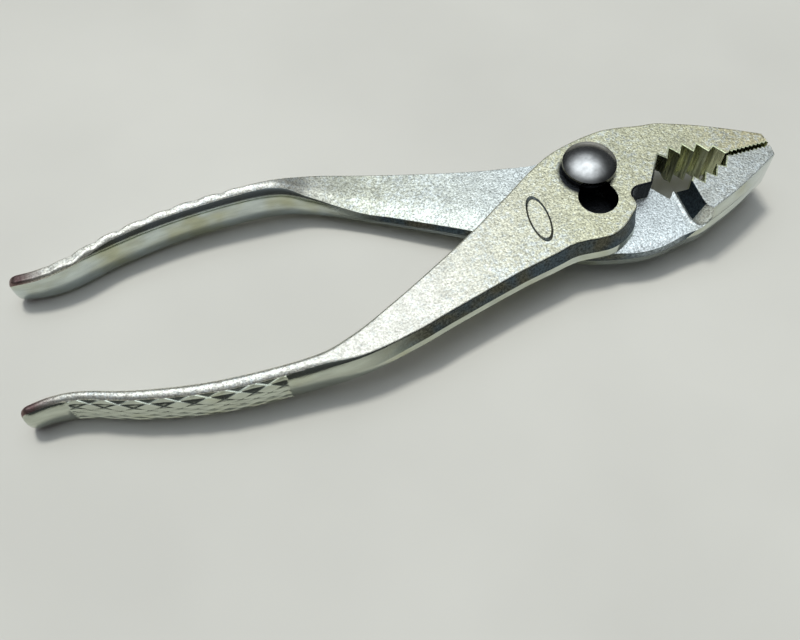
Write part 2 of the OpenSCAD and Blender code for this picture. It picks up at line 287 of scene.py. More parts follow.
# Shading: angle of a sharp edge, and the weight of large faces
SHARP_ANGLE, FLOOR_SHARP, FACE_WEIGHT = math.radians(32), math.radians(60), 60


def blend(a, b, share):
    """The value a share of the way from a to b."""
    return a + (b - a) * share


def ease(share):
    """A share held between 0 and 1, with a soft start and a soft stop."""
    share = min(max(share, 0.0), 1.0)
    return share * share * (3 - 2 * share)


def smooth_curve(points, steps):
    """Smooth curve through all the points."""
    last = len(points) - 1
    made = []
    for i in range(last):
        a, b, c, d = points[max(i - 1, 0)], points[i], points[i + 1], points[min(i + 2, last)]
        for k in range(steps):
            t = k / steps
            made.append(tuple(
                q + t / 2 * ((r - p) + t * ((2 * p - 5 * q + 4 * r - s) + t * (3 * (q - r) + s - p)))
                for p, q, r, s in zip(a, b, c, d)))
    return made + [tuple(points[last])]


def arc(centre, rx, ry, start, stop, steps):
    """Points of an ellipse's arc from angle start to angle stop, in degrees."""
    return [(centre[0] + rx * math.cos(math.radians(blend(start, stop, k / steps))),
             centre[1] + ry * math.sin(math.radians(blend(start, stop, k / steps)))) for k in range(steps + 1)]


class Spine:
    """The handle's middle line, with its sizes at each place, in the jaw line's frame."""

    def __init__(self, forging, handle):
        self.forging, self.handle = forging, handle
        half_gap = forging.plate_gap / 2
        stations = []
        for along, drop, narrow, end, thin, deep, shallow in HANDLE_SHARES:
            half = blend(handle.grip_depth, handle.end_depth, shallow) / 2
            width = blend(handle.root_w, handle.grip_w, narrow) + end * (handle.end_w - handle.grip_w)
            low = blend(half_gap + thin * (forging.plate_t - handle.neck_t), -half, deep)
            high = blend(half_gap + forging.plate_t, half, deep)
            stations.append((-along * (handle.handle_length - handle.end_r), -drop * handle.grip_drop,
                             width, low, high, deep))
        self.points = smooth_curve(stations, SPINE_STEPS)
        self.root = ROOT_STATION * SPINE_STEPS
        self.runs = [0.0]
        for a, b in zip(self.points, self.points[1:]):
            self.runs.append(self.runs[-1] + math.hypot(b[0] - a[0], b[1] - a[1]))

    def heading(self, i):
        """The spine's direction at one of its points."""
        a, b = self.points[max(i - 1, 0)], self.points[min(i + 1, len(self.points) - 1)]
        return Vector((b[0] - a[0], b[1] - a[1])).normalized()

    def at(self, run):
        """The place and heading at a distance along the spine."""
        i = 0
        while i < len(self.runs) - 2 and self.runs[i + 1] < run:
            i += 1
        t = (run - self.runs[i]) / (self.runs[i + 1] - self.runs[i])
        place = tuple(blend(p, q, t) for p, q in zip(self.points[i], self.points[i + 1]))
        return place, self.heading(i).lerp(self.heading(i + 1), t).normalized()

    def corner(self, side):
        """Where the handle's root meets the joint: side 1 on the inner edge, -1 on the boss's edge."""
        p, h = self.points[self.root], self.heading(self.root)
        return Vector((p[0] + side * p[2] / 2 * h[1], p[1] - side * p[2] / 2 * h[0]))


def plate_top(forging):
    """Height of the plate's outer face over the joint's middle."""
    return forging.plate_gap / 2 + forging.plate_t


def wall(share, low, high, top_r, low_r, lean, reach=1.0):
    """Forged wall from its foot (share 0) to the top edge (share 1): how far out it lies, and its height.

    The lean gives how far out the wall lies at its top edge, at its flash line and at its foot. The rounding of the
    top edge is wider than high by the reach."""
    top, flash, foot = lean
    line = low + FLASH_SHARE * (high - low)
    line_share = FOOT_BAND + FLASH_BAND
    edge_share = 1 - EDGE_BAND
    if share > edge_share:
        a = math.radians(90 * (share - edge_share) / EDGE_BAND)
        return top - reach * top_r * (1 - math.cos(a)), high - top_r * (1 - math.sin(a))
    if share > line_share:
        t = (share - line_share) / DRAFT_BAND
        return blend(flash, top, t), blend(line, high - top_r, t)
    if share > FOOT_BAND:
        t = (share - FOOT_BAND) / FLASH_BAND
        return blend(foot, flash, t), blend(low + low_r, line, t)
    a = math.radians(90 * (1 - share / FOOT_BAND))
    return foot - low_r * (1 - math.cos(a)), low + low_r * (1 - math.sin(a))


def outline(forging, spine):
    """Plan of a half from the handle's root round the jaw and the boss: place, lean, rounding and finish."""
    f = forging
    root = spine.corner(1)
    crown = (f.crown_x, f.crown_h)
    tip = arc((f.jaw_length - f.tip_r, f.tip_w - f.tip_r), f.tip_r, f.tip_r, TIP_TURN, 0, TIP_STEPS)
    edge = [tuple(root)]
    edge += [(blend(root.x, crown[0], a), blend(root.y, crown[1], b)) for a, b in BACK_SHARES]
    edge += [crown]
    edge += [(blend(crown[0], f.jaw_length, a), blend(f.tip_w, crown[1], b)) for a, b in FLANK_SHARES]
    edge = smooth_curve(edge + [tip[0]], EDGE_STEPS)
    still = (0.0, 0.0, 0.0)
    crown_lean = (0.0, f.crown_bulge, f.crown_foot)
    columns = []
    for k, p in enumerate(edge + tip[1:]):
        fade = ease((f.jaw_length - p[0]) / TIP_FADE) if k < len(edge) else 0.0
        columns.append((p, tuple(v * fade for v in crown_lean), f.edge_r, FORGED))
    x, flat = f.jaw_length, f.jaw_gap / 2
    columns.append(((x, flat), still, f.cut_r / 2, CUT))
    while x - f.serration_p > f.grip_end + LAST_SERRATION * f.serration_p:
        columns.append(((x - f.serration_p / 2, flat + f.serration_h), still, f.cut_r / 2, CUT))
        x -= f.serration_p
        columns.append(((x, flat), still, f.cut_r / 2, CUT))
    middle = GRIP_MID_SHARE * f.grip_end
    for i in range(f.tooth_count):
        for half in (0, 0.5):
            x = f.grip_end - (i + half) * f.tooth_pitch
            fall = ((x - middle) / (f.grip_end - middle)) ** 2
            y = f.tooth_root_h * (1 - ROOT_FALL_SHARE * fall) if half else blend(f.tooth_tip_h, flat, fall)
            columns.append(((x, y), still, f.cut_r, CUT))
    columns.append(((f.cutter_x, -f.cutter_drop), still, f.cut_r, CUT))
    notch = arc((f.boss_nose + f.notch_r, -f.cutter_drop - f.notch_r), f.notch_r, f.notch_r, 90, 180, NOTCH_STEPS)
    columns += [(p, still, f.cut_r, CUT) for p in notch]
    centre = (BOSS_ROUND_SHARES[0] * f.boss_nose, -BOSS_ROUND_SHARES[1] * f.boss_drop)
    boss = arc(centre, f.boss_nose - centre[0], f.boss_drop + centre[1], 0, -90, BOSS_STEPS)
    side = (-f.boss_inset, f.boss_bulge, f.boss_foot)
    nose = (-f.nose_inset, NOSE_BULGE * f.boss_bulge, NOSE_FOOT * f.boss_foot)
    for k, p in enumerate(boss):
        t = k / BOSS_STEPS
        beside = ease((t - SIDE_START) / (1 - SIDE_START))
        lean = tuple(blend(a * ease(t / NOSE_RUN), b, beside) for a, b in zip(nose, side))
        columns.append((p, lean, blend(f.cut_r, f.edge_r, ease(t / ROUND_RUN)), FORGED))
    last, end = Vector(boss[-1]), spine.corner(-1)
    reach = BEND_REACH * (end - last).length
    bend = [last, last - Vector((reach, 0)), end - reach * spine.heading(spine.root), end]
    for k in range(1, BEND_STEPS + 1):
        t = k / BEND_STEPS
        a = [p.lerp(q, t) for p, q in zip(bend, bend[1:])]
        b = [p.lerp(q, t) for p, q in zip(a, a[1:])]
        columns.append((tuple(b[0].lerp(b[1], t)), side, f.edge_r, FORGED))
    return columns


def leans(points, side, least):
    """Outward direction in plan at each point of a closed line, longer at sharp corners.

    Side 1 is left of the line's run and -1 is right of it. The least is the limit to the lengthening."""
    made = []
    for i, p in enumerate(points):
        before, after = Vector(points[i - 1]), Vector(points[(i + 1) % len(points)])
        a, b = (Vector(p) - before).normalized(), (after - Vector(p)).normalized()
        square = side * Vector((-a.y, a.x))
        n = side * Vector((-a.y - b.y, a.x + b.x))
        n = n.normalized() if n.length > TINY else square
        made.append(n / max(n.dot(square), least))
    return made


def knurl(handle, ring, level, last):
    """Depth below the raised lines of the knurl, counted in rings along the grip and levels around it."""
    u = (ring - handle.knurl_shift) / DIAMOND_STEPS
    v = (level - handle.knurl_rise) / DIAMOND_STEPS
    off = 2 * min(abs(family - round(family)) for family in (u + v, u - v))
    depth = handle.line_h * min(off * DIAMOND_STEPS / 2, 1.0) + handle.pocket * off
    near = min(ring, last - ring)
    if near < BORDER_RINGS:
        depth = handle.line_h * min(1.0, *(abs(near - line) for line in BORDER_LINES))
    return depth * min(0.5 + near, 1.0)


def even_line(points):
    """The same line with its points moved to even distances along it."""
    runs = [0.0]
    for p, q in zip(points, points[1:]):
        runs.append(runs[-1] + (q - p).length)
    made, i = [], 0
    for k in range(len(points)):
        run = runs[-1] * k / (len(points) - 1)
        while i < len(points) - 2 and runs[i + 1] < run:
            i += 1
        made.append(points[i].lerp(points[i + 1], (run - runs[i]) / max(runs[i + 1] - runs[i], TINY)))
    return made


def oval_side(half_w, low, high, top, foot, widest):
    """One side of the grip's section: ovals over and under its widest height, each with its width and its power."""
    fine = 4
    line = []
    for k in range(fine * LEVELS + 1):
        a = math.radians(180 * k / (fine * LEVELS) - 90)
        (w, flat), tall = (top, high - widest) if a > 0 else (foot, widest - low)
        x, z = max(math.cos(a), 0.0) ** flat, math.copysign(abs(math.sin(a)) ** flat, a)
        line.append(Vector((half_w - w + w * x, widest + tall * z)))
    return even_line(line)[::fine]


def press_knurl(line, handle, side, ring, last):
    """Presses the knurl into the outer side of a section (side 1), and scallops into both where it runs out."""
    wave = (0.5 - 0.5 * math.cos(2 * math.pi * (ring - handle.knurl_shift) / DIAMOND_STEPS)) ** 2
    ends = ease(min(ring, last - ring) / BORDER_RINGS)
    cut = []
    for level in range(LEVELS):
        n = line[level + 1] - line[level - 1] if level else Vector((1, 0))
        n = Vector((n.y, -n.x)).normalized()
        depth = handle.scallop * wave * (ease((SCALLOP_REACH[side] - level) / SCALLOP_FADE) * ends)
        if side:
            crest = ease((LEVELS * CREST_SHARE + 1 - level) / CREST_FADE)
            depth += knurl(handle, ring, level, last) * min(ease((level - KNURL_FOOT) / FOOT_FADE), crest)
        cut.append(line[level] - n * depth)
    line[:LEVELS] = cut


def section(spine, run, inset, ring=None, last=0):
    """Both sides of the handle's section, from foot to top edge, as lists of places in 3D."""
    f, h = spine.forging, spine.handle
    (x, y, width, low, high, deep), heading = spine.at(run)
    outward = Vector((-heading.y, heading.x, 0))
    centre = Vector((x, y, 0))
    low, high, half_w = low + inset, high - inset, width / 2 - END_INSET * inset - SIDE_SLACK * deep
    squeeze = min(1.0, 2 * half_w / (h.oval_out + h.oval_in))
    slope = h.slope_h * min(SLOPE_FILL * (high - low) / h.grip_depth, 1.0)
    sharp = blend(1.0, END_SHARP, ease((-x / h.handle_length - SHARP_START) / SHARP_RUN))
    wide, narrow = h.oval_out * squeeze, h.oval_in * squeeze
    ovals = (oval_side(half_w, low, high, (narrow, WALL_POWER), (sharp * wide, SLOPE_POWER), low + sharp * slope),
             oval_side(half_w, low, high, (wide, SLOPE_POWER), (narrow, 1.0), high - slope))
    spreads = ((0.0, f.crown_bulge, f.crown_foot), (-f.boss_inset, f.boss_bulge, f.boss_foot))
    made = []
    for side, (oval, spread) in enumerate(zip(ovals, spreads)):
        spread = [v * (1 - deep) for v in spread]
        foot = low if side else low + h.neck_fall
        line = []
        for level in range(LEVELS + 1):
            out, z = wall(level / LEVELS, foot, high, min(f.edge_r, half_w), min(NECK_FOOT_R, half_w), spread)
            line.append(Vector((half_w + out, z)).lerp(oval[level], deep))
        if ring is not None:
            press_knurl(line, h, side, ring, last)
        sideways = outward if side else -outward
        made.append([centre + sideways * p.x + Vector((0, 0, p.y)) for p in line])
    return made


def across(outer, inner, level, share):
    """A place between the handle's two sides; at its foot the face falls away toward the inner side."""
    place = outer[level].lerp(inner[level], share)
    if level == 0:
        place.z = blend(outer[0].z, inner[0].z, max((share - NECK_FALL_START) / (1 - NECK_FALL_START), 0.0) ** 2)
    return place


def pull(bm, faces, keep=False):
    """Extrudes a region, drops the faces it came from unless they are kept, and gives the new faces and vertices."""
    made = bmesh.ops.extrude_face_region(bm, geom=faces)["geom"]
    if not keep:
        bmesh.ops.delete(bm, geom=[face for face in faces if face.is_valid], context="FACES")
    return tuple([g for g in made if isinstance(g, kind)] for kind in (bmesh.types.BMFace, bmesh.types.BMVert))


def half_mesh(forging, handle):
    """A half's forging as a bmesh in the jaw line's frame, before its cuts."""
    spine = Spine(forging, handle)
    columns = outline(forging, spine)
    lean = leans([c[0] for c in columns], 1, OUTLINE_CORNER)
    along = spine.heading(spine.root)
    lean[0] = Vector((along.y, -along.x))
    lean[-1] = -lean[0]
    top = plate_top(forging)
    inner, outer = section(spine, spine.runs[spine.root], 0)
    count = len(columns)

    def place(column, level):
        if level >= 0 and column >= count - 1:
            return across(outer, inner, level, (column - count + 1) / ACROSS)
        if level >= 0 and column == 0:
            return inner[level].copy()
        if column >= count:
            return place(count - 1, level).lerp(place(0, level), (column - count + 1) / ACROSS)
        p, spread, rounding, finish = columns[column]
        share = level / LEVELS if level >= 0 else -level / LOW_LEVELS
        out, z = wall(share, 0.0, top, rounding, 0.0, spread, CUT_REACH if finish == CUT else 1.0)
        n = lean[column]
        return Vector((p[0] + n.x * out, p[1] + n.y * out, z if level >= 0 else -z))

    bm = bmesh.new()
    column_id = bm.verts.layers.int.new("column")
    level_id = bm.verts.layers.int.new("level")
    ring = [bm.verts.new(place(column, 0)) for column in range(count + ACROSS - 1)]
    for column, v in enumerate(ring):
        v[column_id] = column
    foot = bm.faces.new(reversed(ring))
    for sign, levels in ((1, LEVELS), (-1, LOW_LEVELS)):
        faces = [foot]
        for level in range(1, levels + 1):
            faces, verts = pull(bm, faces, keep=sign * level == 1)
            for v in verts:
                v[level_id] = sign * level
                v.co = place(v[column_id], sign * level)
    root = [face for face in bm.faces if len(face.verts) == 4 and all(
        (v[column_id] >= count - 1 or v[column_id] == 0) and v[level_id] >= 0 for v in face.verts)]
    extend_handle(bm, spine, root, column_id, level_id, count)
    finish_walls(bm, spine, columns, column_id, level_id)
    bmesh.ops.recalc_face_normals(bm, faces=bm.faces[:])
    return bm


def finish_walls(bm, spine, columns, column_id, level_id):
    """Gives each face its finish: forged on the flats, cut, trimmed at the flash line, or a drafted wall with painted
    shade.
    """
    count = len(columns)
    boss_start = count - (BOSS_STEPS + 1) - BEND_STEPS
    neck_end = -NECK_SHARE * spine.handle.handle_length
    for face in bm.faces:
        levels = [v[level_id] for v in face.verts]
        if len(levels) > 4 or max(levels) == min(levels):
            continue
        sides = [v[column_id] for v in face.verts]
        height = sum(levels) / len(levels) / LEVELS
        x = face.verts[0].co.x
        crest = blend(NECK_CREST, CREST_SHARE, ease((neck_end - x) / CREST_RUN))
        foot_band = 0 <= height < 1 - crest and x < spine.forging.shoulder_x
        if all(0 < c < count - 1 and columns[c][3] == CUT for c in sides):
            finish = CUT
        elif height > crest or foot_band or min(levels) < 1 - LOW_LEVELS:
            finish = FORGED
        elif x < neck_end or height < 0:
            finish = TRIMMED
        elif all(c >= boss_start for c in sides):
            finish = SHADED_WALL if height > BOSS_WALL else TRIMMED
        else:
            jaw = ease((x - JAW_WALL_START) / JAW_WALL_RUN)
            finish = SHADED_WALL if height < SIDE_WALL * (1 - jaw) else TRIMMED
        face.material_index = finish


def handle_runs(spine):
    """Distances along the spine at which the handle gets a ring, with a count of the rings in the knurled part."""
    h = spine.handle
    start, stop = (next(run for run, p in zip(spine.runs, spine.points) if p[0] < -x)
                   for x in (h.knurl_start, h.knurl_end))
    step = h.diamond_l / DIAMOND_STEPS
    last = round((stop - start) / step)
    stop = start + last * step
    root, end = spine.runs[spine.root], spine.runs[-1]
    plain = round((start - root) / NECK_RING)
    runs = [(blend(root, start, k / plain), None) for k in range(1, plain)]
    runs += [(start + k * step, k) for k in range(last + 1)]
    plain = max(round((end - stop) / END_RING), 2)
    runs += [(blend(stop, end, k / plain), None) for k in range(1, plain + 1)]
    return runs, last


def extend_handle(bm, spine, faces, column_id, level_id, count):
    """Pulls the root's end faces along the spine, ring by ring, and rounds the end."""
    runs, last = handle_runs(spine)
    rings = [(run, ring, 0.0, 0.0) for run, ring in runs]
    end_r = spine.handle.end_r
    for k in range(1, END_RINGS + 1):
        a = math.radians(90 * k / END_RINGS)
        rings.append((spine.runs[-1], None, end_r * (1 - math.cos(a)), END_FILL * end_r * math.sin(a)))
    toward = spine.heading(len(spine.points) - 1)
    for run, ring, inset, ahead in rings:
        inner, outer = section(spine, run, inset, ring, last)
        faces, verts = pull(bm, faces)
        for v in verts:
            column = count + ACROSS - 1 if v[column_id] == 0 else v[column_id]
            v.co = across(outer, inner, v[level_id], (column - count + 1) / ACROSS)
            v.co += ahead * Vector((toward.x, toward.y, 0))
        if ring:
            split_along_lines(verts, spine.handle, ring, last, column_id, level_id, count)


def split_along_lines(verts, handle, ring, last, column_id, level_id, count):
    """Splits the newest faces of the knurl along the higher diagonal, so that the raised lines run clean."""
    for v in verts:
        if v[column_id] != count - 1 or not KNURL_FOOT < v[level_id] < LEVELS:
            continue
        level = v[level_id]
        falling = knurl(handle, ring, level, last) + knurl(handle, ring - 1, level - 1, last)
        rising = knurl(handle, ring, level - 1, last) + knurl(handle, ring - 1, level, last)
        if abs(falling - rising) < MERGE:
            continue
        below = [e.other_vert(v) for e in v.link_edges]
        under = next(w for w in below if w[column_id] == count - 1 and w[level_id] == level - 1)
        back = next(w for w in below if w[column_id] == count - 1 and w[level_id] == level)
        face = next(g for g in v.link_faces if under in g.verts and back in g.verts)
        far = next(w for w in face.verts if w not in (v, under, back))
        pair = (v, far) if falling < rising else (under, back)
        bmesh.utils.face_split(face, *pair)


def loft(count, steps, place):
    """A closed solid pulled from an outline of count points through its steps, with each point where place says."""
    bm = bmesh.new()
    index = bm.verts.layers.int.new("point")
    ring = [bm.verts.new(place(i, steps[0])) for i in range(count)]
    for i, v in enumerate(ring):
        v[index] = i
    faces = [bm.faces.new(ring)]
    for k, step in enumerate(steps[1:]):
        faces, verts = pull(bm, faces, keep=k == 0)
        for v in verts:
            v.co = place(v[index], step)
    return bm


def stack(points, levels):
    """A solid pulled up from a plan outline through levels of (height, how far out the outline grows)."""
    flat = [Vector(p) for p in points]
    lean = leans(flat, -1, STACK_CORNER)

    def place(i, level):
        z, out = level
        return Vector((flat[i].x + lean[i].x * out, flat[i].y + lean[i].y * out, z))

    bm = loft(len(flat), levels, place)
    bmesh.ops.recalc_face_normals(bm, faces=bm.faces[:])
    return bm


def disc(radius, steps, centre=(0, 0)):
    """Plan of a full circle."""
    return arc(centre, radius, radius, 0, 360, steps)[:-1]


def turn(bm, angle, axis):
    """Turns all of a bmesh about one of the axes."""
    bmesh.ops.rotate(bm, cent=(0, 0, 0), matrix=Matrix.Rotation(angle, 3, axis), verts=bm.verts[:])


def spin_round(bm, steps):
    """Spins all of a bmesh's line once round the upright axis."""
    bmesh.ops.spin(bm, geom=bm.verts[:] + bm.edges[:], cent=(0, 0, 0), axis=(0, 0, 1), angle=2 * math.pi, steps=steps,
                   use_merge=True, use_duplicate=False)


def relief_cutter(forging):
    """The room behind the shoulder where the other half crosses, with the shoulder's outer corner rounded."""
    f = forging
    half_gap, deep = f.plate_gap / 2, f.plate_t + f.plate_gap
    slope = math.tan(f.shoulder_draft)
    lip, fillet = RELIEF_LIP, f.shoulder_fillet
    foot = f.shoulder_x + (deep - lip) * slope
    profile = [(RELIEF_BACK, half_gap - 2 * deep),
               (foot + 3 * lip, half_gap - deep - 2 * lip),
               (foot, half_gap - deep + lip),
               (f.shoulder_x + FILLET_LOW * fillet * slope, half_gap - FILLET_LOW * fillet),
               (f.shoulder_x - FILLET_IN * fillet, half_gap - FILLET_UP * fillet),
               (f.shoulder_x - fillet, half_gap),
               (RELIEF_BACK, half_gap)]
    corner = SHOULDER_EDGE - f.shoulder_r
    start, stop = f.crown_h - FACE_FALL_RUN, f.crown_h
    shares = [k / CORNER_STEPS for k in range(CORNER_STEPS + 1)]
    turns = {corner + f.shoulder_r * t for t in shares} | {blend(start, stop, t) for t in shares}

    def place(i, y):
        x, z = profile[i]
        t = min(max((y - corner) / f.shoulder_r, 0), 1)
        shift = f.shoulder_r * (1 - math.sqrt(max(1 - t * t, 0)))
        fall = f.face_fall * min(max((y - start) / (stop - start), 0), 1) ** 2
        return Vector((x + (shift if 0 < i < len(profile) - 1 else 0), y, z + (fall if i > 2 else 0)))

    bm = loft(len(profile), [-RELIEF_REACH, RELIEF_START] + sorted(turns) + [RELIEF_REACH], place)
    bm.normal_update()
    for face in bm.faces:
        corner_side = face.calc_center_median().y > SHOULDER_EDGE - CORNER_SHARE * f.shoulder_r
        # Steep faces of the shoulder's wall take the walls' painted shade
        face.material_index = FORGED if abs(face.normal.z) > FLAT_NORMAL or corner_side else SHADED_WALL
    bmesh.ops.recalc_face_normals(bm, faces=bm.faces[:])
    return bm


def slot_outline(forging):
    """Figure-eight plan of the slot in the jaw line's frame."""
    f = forging
    open_turn = math.degrees(math.asin(f.slot_w / 2 / f.seat_r))
    near = arc((0, 0), f.seat_r, f.seat_r, open_turn - 90, 270 - open_turn, SEAT_STEPS)
    far = arc((0, -f.seat_pitch), f.seat_r, f.seat_r, open_turn + 90, 450 - open_turn, SEAT_STEPS)
    spin = Matrix.Rotation(-f.slot_lean, 2)
    return [tuple(spin @ Vector(p) + Vector((0, f.pivot_offset))) for p in near + far]


def oval_groove(forging):
    """Ring that presses a plain oval groove into the plate beside the slot."""
    f = forging
    bm = bmesh.new()
    bmesh.ops.create_circle(bm, segments=6, radius=0.5 * f.oval_line)
    turn(bm, math.pi / 2, "X")
    bmesh.ops.translate(bm, vec=(f.oval_w / 2, 0, 0), verts=bm.verts[:])
    spin_round(bm, OVAL_STEPS)
    bmesh.ops.scale(bm, vec=(1, f.oval_l / f.oval_w, 1), verts=bm.verts[:])
    turn(bm, f.oval_lean, "Z")
    bmesh.ops.translate(bm, vec=(*f.oval_place, plate_top(f)), verts=bm.verts[:])
    bmesh.ops.remove_doubles(bm, verts=bm.verts[:], dist=MERGE)
    bmesh.ops.recalc_face_normals(bm, faces=bm.faces[:])
    return bm


def as_object(name, bm, materials, finish=None):
    """A mesh object at the origin from a bmesh, all of one finish if it is given, or with the finishes it has."""
    if finish is not None:
        for face in bm.faces:
            face.material_index = finish
    mesh = bpy.data.meshes.new(name)
    bm.to_mesh(mesh)
    bm.free()
    for material in materials:
        mesh.materials.append(material)
    made = bpy.data.objects.new(name, mesh)
    bpy.context.scene.collection.objects.link(made)
    return made


def cut_away(body, cutters, keep=()):
    """Trims the body to the rooms that are kept, takes the cutters' rooms out of it and leaves a plain mesh."""
    for tool in (*keep, *cutters):
        modifier = body.modifiers.new("cut", "BOOLEAN")
        modifier.operation = "INTERSECT" if tool in keep else "DIFFERENCE"
        modifier.solver = "EXACT"
        modifier.object = tool
    graph = bpy.context.evaluated_depsgraph_get()
    mesh = bpy.data.meshes.new_from_object(body.evaluated_get(graph))
    body.modifiers.clear()
    old, body.data = body.data, mesh
    mesh.name = body.name
    bpy.data.meshes.remove(old)
    for tool in (*keep, *cutters):
        used = tool.data
        bpy.data.objects.remove(tool)
        bpy.data.meshes.remove(used)


def settle(piece, matrix, body, node):
    """Moves a piece's mesh to its place, smooths its shading and hands it to its body."""
    bm = bmesh.new()
    bm.from_mesh(piece.data)
    bmesh.ops.remove_doubles(bm, verts=bm.verts[:], dist=WELD)
    bmesh.ops.dissolve_degenerate(bm, edges=bm.edges[:], dist=WELD)
    bmesh.ops.transform(bm, matrix=matrix, verts=bm.verts[:])
    bmesh.ops.recalc_face_normals(bm, faces=bm.faces[:])
    for face in bm.faces:
        face.smooth = True
    bm.to_mesh(piece.data)
    bm.free()
    piece.data.set_sharp_from_angle(angle=SHARP_ANGLE)
    even = piece.modifiers.new("even shading", "WEIGHTED_NORMAL")
    even.keep_sharp = True
    even.weight = FACE_WEIGHT
    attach(piece, body)
    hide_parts(node)
    return piece


# Where one finish, or a painted shade, runs into another: starts and stops on an axis of the pliers or out from the
# bolt, in metres
JOINT_X, FRONT_JAW_X, REAR_JAW_X, REAR_NECK_X = (-0.045, -0.005), (0.022, 0.038), (0.0155, 0.0185), (-0.066, -0.052)
JOINT_GRAIN_X, GRIP_GRAIN_X, ROUGH_X = (-0.048, -0.012), (-0.074, -0.060), (-0.050, -0.018)
HANDLE_END_X = (-0.1222, -0.1160)
# Painted shade on the walls: where it gives way toward the grips, and where it turns bluish toward the jaw
SHADED_WALL_X, COOL_SHADE_X = (-0.062, -0.044), (0.008, 0.015)
# Where the walls' painted shade is lighter, at the boss's nose
NOSE_RISE_X, NOSE_FALL_X = (-0.001, 0.007), (0.0135, 0.0155)
# Where the painted shade on the cut walls ends, past the teeth nearest the pivot
CUT_SHADE_X = (0.012, 0.021)
FRONT_SIDE_Y = (-0.022, -0.012)
# Height under which the bolt and nut are painted near black as shade
HEAD_SHADE_Z = (0.0141, 0.0147)
# Distances from the bolt's axis over which painted shade darkens the head toward its edge
HEAD_EDGE_SHADE_R = (0.0046, 0.0056)
# Painted shade on the halves, in the slot's far seat, and painted shadow round the bolt's head: middle of each patch,
# and where it starts and stops to fade
SHADE_SPOTS = (((-0.0012, -0.0082, 0.0075), 0.0048, 0.0060), ((-0.0011, -0.0012, 0.01395), 0.0056, 0.0066))
# Tone of the calm plate on the front neck
EVEN_TONE = 0.78
# Sockets of a colour mix
FIRST, SECOND, MIXED = 6, 7, 2


class Nodes:
    """A material's node tree on object coordinates, built a node at a time."""

    def __init__(self, name, metallic=1.0):
        self.material = bpy.data.materials.new(name)
        self.material.use_nodes = True
        self.tree = self.material.node_tree
        self.tree.nodes.clear()
        self.shader = self.add("ShaderNodeBsdfPrincipled", Metallic=metallic)
        self.link(self.shader, self.add("ShaderNodeOutputMaterial"), "Surface")
        self.place = self.add("ShaderNodeTexCoord")
        self.axes = None

    def add(self, kind, **values):
        """A new node with values for its sockets and its settings."""
        node = self.tree.nodes.new(kind)
        for key, value in values.items():
            if key in node.inputs:
                node.inputs[key].default_value = value
            else:
                setattr(node, key, value)
        return node

    def link(self, source, node, into, out=0):
        """Links an output of the source to an input of the node."""
        self.tree.links.new(source.outputs[out], node.inputs[into])

    def placed(self, kind, **values):
        """A new node that takes the place on the object first."""
        node = self.add(kind, **values)
        self.link(self.place, node, 0, "Object")
        return node

    def grain(self, size, detail=2.0, stretch=(1, 1, 1), rough=0.5):
        """Noise with features of about that size in metres."""
        noise = self.add("ShaderNodeTexNoise", Scale=1 / size, Detail=detail, Roughness=rough)
        self.link(self.placed("ShaderNodeMapping", Scale=stretch), noise, "Vector")
        return noise

    def ramp(self, source, low, high, a, b, out=0):
        """Runs the source from a to b between two of its values."""
        node = self.add("ShaderNodeMapRange")
        for socket, value in (("From Min", low), ("From Max", high), ("To Min", a), ("To Max", b)):
            node.inputs[socket].default_value = value
        self.link(source, node, "Value", out)
        return node

    def along(self, axis, low, high, a=0.0, b=1.0):
        """Runs from a to b between two places on one of the object's axes."""
        self.axes = self.axes or self.placed("ShaderNodeSeparateXYZ")
        return self.ramp(self.axes, low, high, a, b, axis)

    def away(self, spot, low, high):
        """Runs from 0 to 1 between two distances from a spot."""
        node = self.placed("ShaderNodeVectorMath", operation="DISTANCE")
        node.inputs[1].default_value = spot
        return self.ramp(node, low, high, 0.0, 1.0, "Value")

    def join(self, operation, first, second):
        """Two values joined by an operation and held between 0 and 1."""
        node = self.add("ShaderNodeMath", operation=operation, use_clamp=True)
        self.link(first, node, 0)
        self.link(second, node, 1)
        return node

    def paint(self, node, socket, tint):
        """Gives a socket its colour: three numbers, or a mix."""
        if isinstance(tint, bpy.types.Node):
            self.link(tint, node, socket, MIXED)
        else:
            node.inputs[socket].default_value = (*tint, 1)

    def mix(self, factor, a, b):
        """Two colours mixed by a factor."""
        node = self.add("ShaderNodeMix", data_type="RGBA")
        self.link(factor, node, 0)
        self.paint(node, FIRST, a)
        self.paint(node, SECOND, b)
        return node

    def shade(self, tint, tone):
        """A colour darkened and lightened by a tone."""
        node = self.add("ShaderNodeMix", data_type="RGBA", blend_type="MULTIPLY")
        node.inputs[0].default_value = 1.0
        self.paint(node, FIRST, tint)
        self.link(tone, node, SECOND)
        return node

    def bump(self, source, strength, depth, under=None):
        """Surface relief from a source, on top of another relief if there is one."""
        node = self.add("ShaderNodeBump", Strength=strength, Distance=depth)
        self.link(source, node, "Height")
        if under:
            self.link(under, node, "Normal")
        return node

    def dress(self, tint, rough, relief):
        """Joins colour, roughness and relief to the shader and gives the finished material."""
        self.link(tint, self.shader, "Base Color", MIXED)
        if isinstance(rough, bpy.types.Node):
            self.link(rough, self.shader, "Roughness")
        else:
            self.shader.inputs["Roughness"].default_value = rough
        self.link(relief, self.shader, "Normal")
        return self.material


